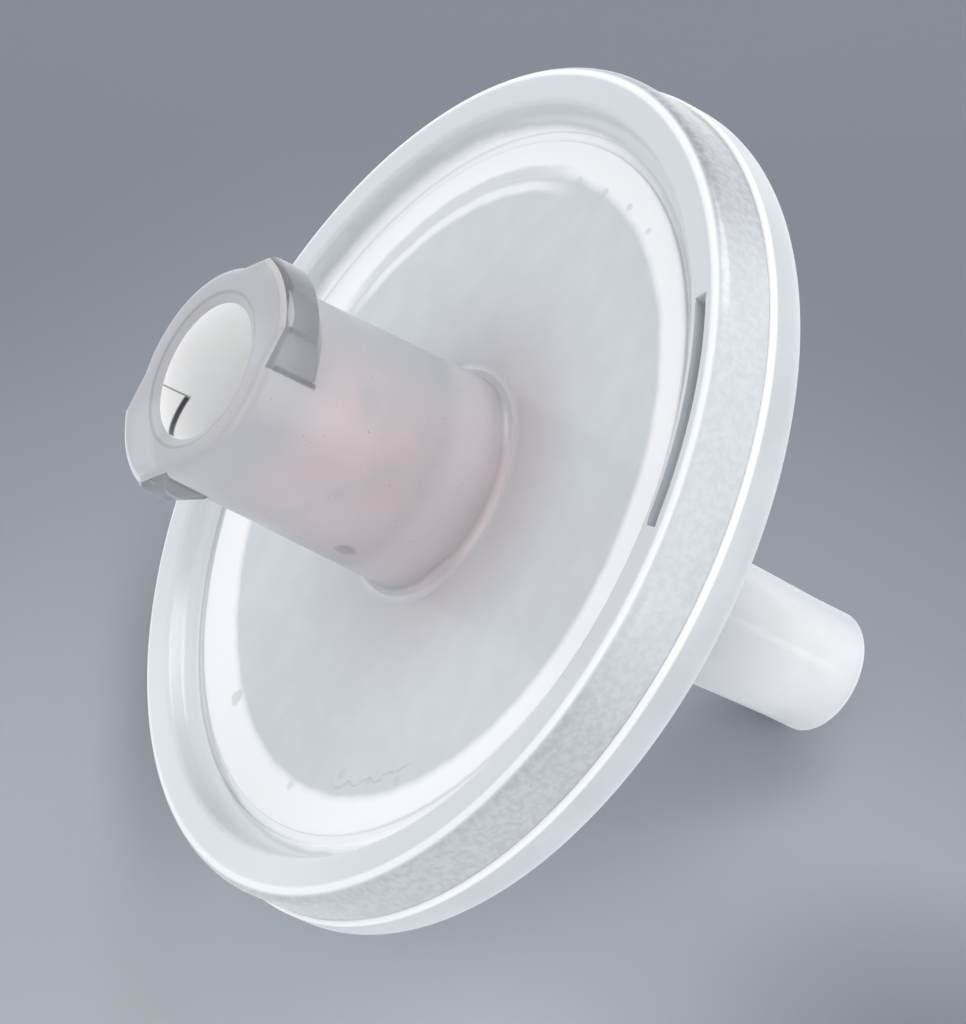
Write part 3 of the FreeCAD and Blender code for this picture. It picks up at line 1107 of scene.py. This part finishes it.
@dataclass
class InletShell(FilterPiece):
    """Inlet half: hub with its luer socket and lock lugs, face, rim, tongue and plenum."""

    ceiling_z: float = 0.35
    face_z: float = 1.2
    rim_z: float = 1.9
    rim_inner_r: float = 12.1
    rim_foot_r: float = 11.9
    groove_r: float = 11.3
    groove_width: float = 0.3
    groove_depth: float = 0.12
    slot_r: float = 12.55
    slot_width: float = 0.45
    slot_depth: float = 0.9
    slot_start: float = -51.5
    slot_span: float = 33.0
    slot_rounding: float = 0.05
    socket_floor_z: float = 2.2
    socket_land: float = 2.5
    socket_taper_depth: float = 5.2
    socket_lead: float = 0.3
    socket_lead_depth: float = 0.15
    socket_mouth_r: float = 2.15
    port_r: float = 1.0
    hub_wall: float = 1.15
    hub_draft: float = 0.15
    lug_rise: float = 0.6
    lug_height: float = 1.7
    lug_flank: float = 0.5
    lug_base_half: float = 43.0
    lug_crest_half: float = 24.0
    lug_rounding: float = 0.14
    spacer_count: int = 6
    spacer_half_width: float = 0.25
    spacer_reach: Reach = (1.7, 8.7)
    spacer_height: float = 0.2

    PIECE_NAME = "inlet_shell"

    # how far the search for faces and edges goes past the surfaces that it names
    NEAR = 0.01
    OVERLAP = 0.02
    HUB_WALL_DEPTH = 0.4
    HUB_SPREAD = 0.35
    LUG_STAND = 0.04
    LUG_EDGE_STAND = 0.2
    LUG_TOP_DEPTH = 0.15
    FACE_DEPTH = 0.2
    RIM_DEPTH = 0.2
    SLOT_LIP = 0.06
    SLOT_END_DEG = 1.0

    @property
    def land_middle_z(self) -> float:
        """Level of the middle of the socket's parallel land, where its mount is stated."""
        return self.socket_floor_z + self.socket_land / 2

    @property
    def lead_z(self) -> float:
        """Level where the lead-in at the socket's mouth starts."""
        return self.socket_floor_z + self.socket_land + self.socket_taper_depth

    @property
    def mouth_z(self) -> float:
        """Level of the socket's mouth."""
        return self.lead_z + self.socket_lead_depth

    @property
    def hub_r(self) -> float:
        """Outer radius of the hub at its mouth."""
        return self.socket_mouth_r + self.hub_wall

    @property
    def lug_low_z(self) -> float:
        """Level of the lugs' lower end."""
        return self.mouth_z - self.lug_height

    def slot_walls(self, beyond: float = 0.0) -> Reach:
        """Inner and outer radius of the arc slot, or so far beyond its walls."""
        half = self.slot_width / 2 + beyond
        return self.slot_r - half, self.slot_r + half

    def outline(self) -> list[Corner]:
        """The section, from the socket's mouth out over the hub, face and rim and back inside."""
        s = self.sizes
        drafted = self.hub_draft / (self.mouth_z - self.face_z)
        flank_r = self.hub_r + drafted * (self.lug_height - self.lug_flank)
        groove_in = self.groove_r - self.groove_width / 2
        groove_out = self.groove_r + self.groove_width / 2
        groove_z = self.face_z - self.groove_depth
        slot_in, slot_out = self.slot_walls()
        tongue_in, tongue_out = s.tongue_walls()
        land_r = self.socket_mouth_r - self.socket_taper_depth * s.luer_taper / 2
        return [
            Corner(self.socket_mouth_r + self.socket_lead, self.mouth_z, 0.08, 3),
            Corner(self.hub_r, self.mouth_z, 0.38, 6),
            Corner(flank_r, self.lug_low_z + self.lug_flank),
            Corner(self.hub_r + drafted * self.lug_height, self.lug_low_z),
            Corner(self.hub_r + self.hub_draft, self.face_z, 0.45, 8),
            Corner(groove_in, self.face_z, 0.05, 3),
            Corner(groove_in, groove_z, 0.04, 2),
            Corner(groove_out, groove_z, 0.04, 2),
            Corner(groove_out, self.face_z, 0.05, 3),
            Corner(self.rim_foot_r, self.face_z, 0.25),
            Corner(self.rim_inner_r, self.rim_z, 0.15),
            Corner(slot_in, self.rim_z),
            Corner(slot_out, self.rim_z),
            Corner(s.disc_r, self.rim_z, 0.5, 8),
            Corner(s.disc_r, 0.0, 0.04, 3),
            Corner(tongue_out, 0.0),
            Corner(tongue_out, -s.tongue_height),
            Corner(tongue_in, -s.tongue_height),
            Corner(tongue_in, 0.0),
            Corner(s.clamp_inner_r, 0.0),
            Corner(s.clamp_inner_r, self.ceiling_z),
            Corner(self.spacer_reach[1], self.ceiling_z),
            Corner(self.spacer_reach[0], self.ceiling_z),
            Corner(self.port_r, self.ceiling_z),
            Corner(self.port_r, self.socket_floor_z),
            Corner(land_r, self.socket_floor_z),
            Corner(land_r, self.socket_floor_z + self.socket_land),
            Corner(self.socket_mouth_r, self.lead_z),
        ]

    def add_spacers(self, shell: TurnedShell) -> None:
        """Raise the spacers that keep the membrane off the plenum's ceiling."""
        on_ceiling = within(level(self.ceiling_z), (-math.inf, self.sizes.clamp_inner_r))
        bars = radial_bars(self.spacer_count, self.spacer_reach, self.spacer_half_width)
        shell.cut_beside_lines(on_ceiling, self.spacer_count, self.spacer_half_width)
        shell.raise_faces(lambda s: on_ceiling(s) and bars(s), -self.spacer_height)

    def add_lugs(self, shell: TurnedShell) -> None:
        """Pull the two lock lugs out of the hub's wall and round their edges."""
        lean = self.lug_crest_half / self.lug_base_half

        def pulled(spot: Spot, middle: float) -> Spot:
            """Where a point of the hub's wall goes: out, and in towards the lug's middle."""
            below = max(0.0, self.lug_low_z + self.lug_flank - spot.height)
            rise = self.lug_rise - below
            aside = (spot.angle - middle + 180.0) % 360.0 - 180.0
            turn = 1.0 + (lean - 1.0) * rise / self.lug_rise
            return replace(spot, radius=spot.radius + rise, angle=middle + aside * turn)

        heights = (self.lug_low_z, self.mouth_z - SAME_LEVEL)
        for middle in (0.0, 180.0):
            wall = within(
                heights, (self.hub_r - self.HUB_WALL_DEPTH, math.inf),
                (middle - self.lug_base_half, 2 * self.lug_base_half))
            shell.pull_faces(wall, lambda spot: pulled(spot, middle))
        edges = within(
            (self.lug_low_z - self.NEAR, math.inf), (self.hub_r + self.LUG_EDGE_STAND, math.inf))
        shell.round_corners(edges, self.lug_rounding)

    def sink_slot(self, shell: TurnedShell) -> None:
        """Sink the arc slot into the rim's top and round its edges."""
        top = level(self.rim_z)
        sector = (self.slot_start, self.slot_span)
        shell.raise_faces(within(top, self.slot_walls(), sector), -self.slot_depth)
        shell.round_corners(within(top, self.slot_walls(self.NEAR)), self.slot_rounding, 2)

    def work(self, shell: TurnedShell) -> None:
        """Add spacers, lugs and slot, and give each stretch of the surface its zone."""
        self.add_spacers(shell)
        self.add_lugs(shell)
        self.sink_slot(shell)
        far = math.inf
        socket_edge = self.socket_mouth_r + self.OVERLAP
        slot_heights = (self.rim_z - self.slot_depth - self.NEAR, self.rim_z - self.SLOT_LIP)
        slot_sector = (self.slot_start - self.SLOT_END_DEG, self.slot_span + 2 * self.SLOT_END_DEG)
        for zone, *limits in (
            (InletZone.FACE, (self.face_z - self.FACE_DEPTH, far), (self.hub_r, far)),
            (InletZone.FACE, (0.0, far), (self.sizes.disc_r - self.RIM_DEPTH, far)),
            (InletZone.HUB, (self.face_z + self.OVERLAP, far),
             (socket_edge, self.hub_r + self.HUB_SPREAD)),
            (InletZone.LUG, (self.lug_low_z - self.OVERLAP, self.mouth_z - self.LUG_TOP_DEPTH),
             (self.hub_r + self.LUG_STAND, far)),
            (InletZone.SOCKET, (self.socket_floor_z - self.NEAR, far), (-far, socket_edge)),
            (InletZone.SLOT, slot_heights, self.slot_walls(self.NEAR), slot_sector),
        ):
            shell.paint(zone, within(*limits))

    def face_flecks(self) -> tuple[Fleck, ...]:
        """Two round blemishes in the white margin and dotted marks at its inner edge."""
        grey, pale = (0.5, 0.53, 0.57), (0.56, 0.59, 0.63)
        marks = (
            (-9.83, -0.36, 0.34, 0.7, (0.62, 0.62, 0.6)),
            (-8.42, -5.36, 0.2, 0.5, (0.66, 0.68, 0.7)),
            (-6.3, -6.8, 0.22, 0.5, grey),
            (-5.3, -7.9, 0.2, 0.5, grey),
            (-4.2, -8.9, 0.22, 0.5, grey),
            (8.4, 5.4, 0.2, 0.5, pale),
            (9.2, 4.0, 0.2, 0.5, pale),
            (9.9, 2.6, 0.18, 0.5, pale),
            (10.3, 1.1, 0.16, 0.5, pale),
        )
        return tuple(Fleck((x, y, self.face_z), *looks) for x, y, *looks in marks)

    def finishes(self) -> dict[IntEnum, Plastic]:
        """The finish of each zone, in the zones' order."""
        lug_grey = (0.5, 0.53, 0.57)
        scuff = Fleck((-1.57, -3.02, 4.04), 0.4, 0.8, (0.3, 0.26, 0.26))
        return {
            InletZone.INSIDE: Plastic(
                "inlet_inside", (0.9, 0.91, 0.94), clear=0.0, roughness=0.4),
            InletZone.FACE: FacePlastic(
                "inlet_face", (0.66, 0.69, 0.725), clear=0.05, roughness=0.22, relief=1.5,
                flecks=self.face_flecks()),
            InletZone.HUB: LuerPlastic(
                "inlet_hub", (0.76, 0.66, 0.685), clear=0.35, relief=1.5, flecks=(scuff,)),
            InletZone.LUG: LuerPlastic(
                "inlet_lugs", lug_grey, clear=0.8, roughness=0.08, relief=1.5, grey=lug_grey),
            # The socket's wall is pure white and scatters: painted light standing in for the light
            # that comes in through the hub's wall.
            InletZone.SOCKET: SocketPlastic(
                "inlet_socket", (1.0, 1.0, 1.0), clear=0.0, scatter=1.0, roughness=0.35,
                relief=1.5),
            InletZone.SLOT: Plastic("rim_slot", (0.6, 0.63, 0.67), clear=0.0, roughness=0.5),
        }


@dataclass
class OutletShell(FilterPiece):
    """Outlet half: flange with groove, membrane seat and ribs, back face and spout."""

    drain_z: float = -0.55
    back_z: float = -1.45
    spout_length: float = 13.2
    spout_nose: float = 1.5
    spout_tip_r: float = 1.98
    spout_zone_r: float = 3.0
    bore_r: float = 1.05
    seat_r: float = 11.55
    rib_rings: int = 4
    rib_width: float = 0.5
    drain_count: int = 6
    drain_half_width: float = 0.35

    PIECE_NAME = "outlet_shell"
    BAND_DEPTH = 0.3
    BACK_ABOVE = 0.02
    SPOUT_BELOW = 0.01

    def ring_radii(self) -> list[float]:
        """Middle radii of the support rings."""
        pitch = (self.sizes.clamp_inner_r - self.bore_r) / (self.rib_rings + 1)
        return [self.bore_r + index * pitch for index in range(1, self.rib_rings + 1)]

    def outline(self) -> list[Corner]:
        """The section, from the drains out over the seat and flange and down the spout."""
        s = self.sizes
        groove_in, groove_out = s.tongue_walls(s.tongue_clearance)
        groove_z = -s.tongue_height - s.tongue_clearance
        tip_z = self.back_z - self.spout_length
        root_r = self.spout_tip_r + (self.spout_length - self.spout_nose) * s.luer_taper / 2
        half = self.rib_width / 2
        ribs = [Corner(r + side, self.drain_z) for r in self.ring_radii() for side in (-half, half)]
        return [
            Corner(self.bore_r, self.drain_z),
            *ribs,
            Corner(s.clamp_inner_r, self.drain_z),
            Corner(s.clamp_inner_r, s.seat_z),
            Corner(self.seat_r, s.seat_z),
            Corner(self.seat_r, 0.0),
            Corner(groove_in, 0.0),
            Corner(groove_in, groove_z),
            Corner(groove_out, groove_z),
            Corner(groove_out, 0.0),
            Corner(s.flange_r, 0.0, 0.12),
            Corner(s.flange_r, self.back_z, 0.65, 8),
            Corner(root_r, self.back_z, 0.6, 8),
            Corner(self.spout_tip_r, tip_z + self.spout_nose),
            Corner(self.spout_tip_r, tip_z, 0.25, 6),
            Corner(self.bore_r, tip_z, 0.12, 4),
        ]

    def add_ribs(self, shell: TurnedShell) -> None:
        """Raise the support rings between the radial drains."""
        inner_r = self.sizes.clamp_inner_r
        on_floor = within(level(self.drain_z), (-math.inf, inner_r))
        drains = radial_bars(self.drain_count, (0.0, inner_r), self.drain_half_width)
        half = self.rib_width / 2
        radii = self.ring_radii()

        def on_rib(spot: Spot) -> bool:
            """Whether a place is on a support ring and beside the drains."""
            ring = any(abs(spot.radius - radius) < half for radius in radii)
            return ring and on_floor(spot) and not drains(spot)

        shell.cut_beside_lines(on_floor, self.drain_count, self.drain_half_width)
        shell.raise_faces(on_rib, self.sizes.seat_z - self.drain_z)

    def work(self, shell: TurnedShell) -> None:
        """Add the ribs and give each stretch of the surface its zone."""
        self.add_ribs(shell)
        far = math.inf
        for zone, *limits in (
            (OutletZone.BAND, ANYWHERE, (self.sizes.flange_r - self.BAND_DEPTH, far)),
            (OutletZone.BACK, (-far, self.back_z + self.BACK_ABOVE), (self.spout_zone_r, far)),
            (OutletZone.SPOUT, (-far, self.back_z - self.SPOUT_BELOW), (-far, self.spout_zone_r)),
        ):
            shell.paint(zone, within(*limits))

    def finishes(self) -> dict[IntEnum, Plastic]:
        """The finish of each zone, in the zones' order."""
        return {
            OutletZone.INSIDE: Plastic("outlet_inside", (0.8, 0.82, 0.86), clear=0.0),
            OutletZone.BAND: BandPlastic("edge_band", (0.6, 0.63, 0.66), clear=0.08, grain=6.0),
            OutletZone.BACK: Plastic("outlet_back", (0.64, 0.67, 0.71), clear=0.1),
            OutletZone.SPOUT: SpoutPlastic(
                "outlet_spout", (0.92, 0.93, 0.95), clear=0.25, roughness=0.15, relief=1.5),
        }


@dataclass
class Membrane(FilterPiece):
    """The white filter membrane, a plain disc in its seat."""

    PIECE_NAME = "membrane_disc"

    def outline(self) -> list[Corner]:
        """The section, from the rim in to the flow axis."""
        s = self.sizes
        return [
            Corner(s.membrane_r, 0.0),
            Corner(s.membrane_r, s.seat_z),
            Corner(0.0, s.seat_z),
            Corner(0.0, 0.0),
        ]

    def finishes(self) -> dict[IntEnum, Plastic]:
        """The finish of the film."""
        return {MembraneZone.FILM: Plastic(
            "membrane_film", (0.9, 0.9, 0.92), clear=0.0, roughness=0.8, grain=14.0, relief=6.0,
            coat=0.0)}


# ---------------------------------------------------------------- the studio


def direction(azimuth: float, elevation: float) -> Vector:
    """Unit vector from the filter at an angle from the front towards the right and an angle up."""
    turn, lift = math.radians(azimuth), math.radians(elevation)
    return Vector((
        math.sin(turn) * math.cos(lift), -math.cos(turn) * math.cos(lift), math.sin(lift)))


def face(holder: bpy.types.Object, target: Vector, away: Vector, distance: float) -> None:
    """Put a lamp or the camera at a distance from its target, looking at it."""
    holder.location = target + away * distance
    holder.rotation_euler = (-away).to_track_quat("-Z", "Y").to_euler()


@dataclass(frozen=True)
class Softbox:
    """A soft rectangular lamp aimed at the filter.

    Args:
        name: the lamp's name.
        azimuth: degrees from the front, towards the right.
        elevation: degrees above the bench.
        distance: from the filter, in metres.
        size: side of the lamp, in metres.
        power: in watts.
    """

    name: str
    azimuth: float
    elevation: float
    distance: float
    size: float
    power: float

    def build(self, target: Vector) -> None:
        """Hang the lamp."""
        lamp = bpy.data.lights.new(self.name, "AREA")
        lamp.shape = "SQUARE"
        lamp.size = self.size
        lamp.energy = self.power
        away = direction(self.azimuth, self.elevation)
        face(linked(self.name, lamp), target, away, self.distance)


@dataclass(frozen=True)
class Studio:
    """Pale floor, soft lamps, even surroundings and the camera; floor lengths are in metres.

    The floor shows a painted pool of light round a spot in front of the filter, dimming away from
    it, and painted dimming towards its front right.
    """

    floor_far: Colour = (0.193, 0.206, 0.249)
    floor_painted_light: Colour = (0.44, 0.467, 0.512)
    floor_bounce: Colour = (0.94, 0.96, 1.0)
    floor_roughness: float = 0.9
    floor_half: float = 1.0
    painted_light_spot: tuple[float, float, float] = (-0.0025, -0.0125, 0.0)
    painted_light_reach: Reach = (0.003, 0.036)
    painted_dim_right: Reach = (-0.002, 0.013)
    painted_dim_front: Reach = (0.0, -0.014)
    ambient: float = 0.72
    azimuth: float = 0.92
    elevation: float = 56.1
    distance: float = 0.1788
    lens: float = 211.2
    clip: Reach = (0.01, 10.0)
    aim_offset: tuple[float, float, float] = (-0.678, -0.822, 0.35)
    lamps: tuple[Softbox, ...] = (
        Softbox("key_softbox", -66.0, 44.0, 0.45, 0.3, 0.46),
        Softbox("fill_softbox", 55.0, 25.0, 0.5, 0.35, 0.55),
        Softbox("back_softbox", 150.0, 45.0, 0.5, 0.3, 1.0),
    )

    def floor_paint(self) -> bpy.types.Material:
        """Paint that throws more light back on the filter than it shows the camera, and shows the
        camera a painted pool of light.
        """
        material = new_material("floor_paint")
        wiring = Wiring(material.node_tree)
        coords = wiring.add("ShaderNodeTexCoord").outputs["Object"]
        # Painted pool of light round a spot in front of the filter, and painted dimming towards its
        # front right.
        away = wiring.slope(wiring.distance(coords, self.painted_light_spot), *self.painted_light_reach)
        x, y, _ = wiring.add("ShaderNodeSeparateXYZ", {0: coords}).outputs
        painted_dim = wiring.times(wiring.slope(x, *self.painted_dim_right), wiring.slope(y, *self.painted_dim_front))
        share = wiring.calc("MAXIMUM", away, painted_dim)
        shown = wiring.blend(share, self.floor_painted_light, self.floor_far)
        seen = wiring.add("ShaderNodeLightPath").outputs["Is Camera Ray"]
        shader = wiring.add("ShaderNodeBsdfPrincipled", {
            "Base Color": wiring.blend(seen, self.floor_bounce, shown),
            "Roughness": self.floor_roughness,
        })
        wiring.add("ShaderNodeOutputMaterial", {"Surface": shader.outputs[0]})
        return material

    def floor(self) -> None:
        """Lay the plain floor."""
        mesh = bmesh.new()
        bmesh.ops.create_grid(mesh, x_segments=1, y_segments=1, size=self.floor_half)
        data = bpy.data.meshes.new("studio_floor")
        mesh.to_mesh(data)
        mesh.free()
        data.materials.append(self.floor_paint())
        floor = linked("studio_floor", data)

    def surroundings(self) -> None:
        """Even white light from all round."""
        world = bpy.data.worlds.new("studio_air")
        world.use_nodes = True
        wiring = Wiring(world.node_tree)
        sky = wiring.add("ShaderNodeBackground", {
            "Color": (1.0, 1.0, 1.0, 1.0), "Strength": self.ambient})
        wiring.add("ShaderNodeOutputWorld", {"Surface": sky.outputs[0]})
        bpy.context.scene.world = world

    def camera(self, middle: Vector) -> None:
        """Place the camera in front of the filter, looking down on it."""
        data = bpy.data.cameras.new("camera")
        data.lens = self.lens
        data.clip_start, data.clip_end = self.clip
        holder = linked("camera", data)
        aim = middle + Vector(self.aim_offset) * MM
        face(holder, aim, direction(self.azimuth, self.elevation), self.distance)
        bpy.context.scene.camera = holder

    def build(self) -> None:
        """Set the whole studio up round the filter's box."""
        low, high = (Vector(corner) for corner in cad_box)
        middle = (low + high) / 2
        self.floor()
        self.surroundings()
        for lamp in self.lamps:
            lamp.build(middle)
        self.camera(middle)
        bpy.context.scene.view_settings.view_transform = "Standard"


# ---------------------------------------------------------------- all together


def main() -> None:
    """Build the pieces in order, dress them and set up the studio."""
    inlet = InletShell()
    axis = FlowAxis.from_mount(frame["record"], "inlet_luer", inlet.land_middle_z)
    effects = Effects(axis)
    builders = {CadNode.INLET: inlet, CadNode.OUTLET: OutletShell(), CadNode.MEMBRANE: Membrane()}
    for node, builder in builders.items():
        piece = builder.build(axis, effects)
        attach(piece, "root")
        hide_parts(node.value)
        log.info("%s stands for %s with %d faces", piece.name, node.value, len(piece.data.polygons))
    Studio().build()


if __name__ == "__main__":
    main()
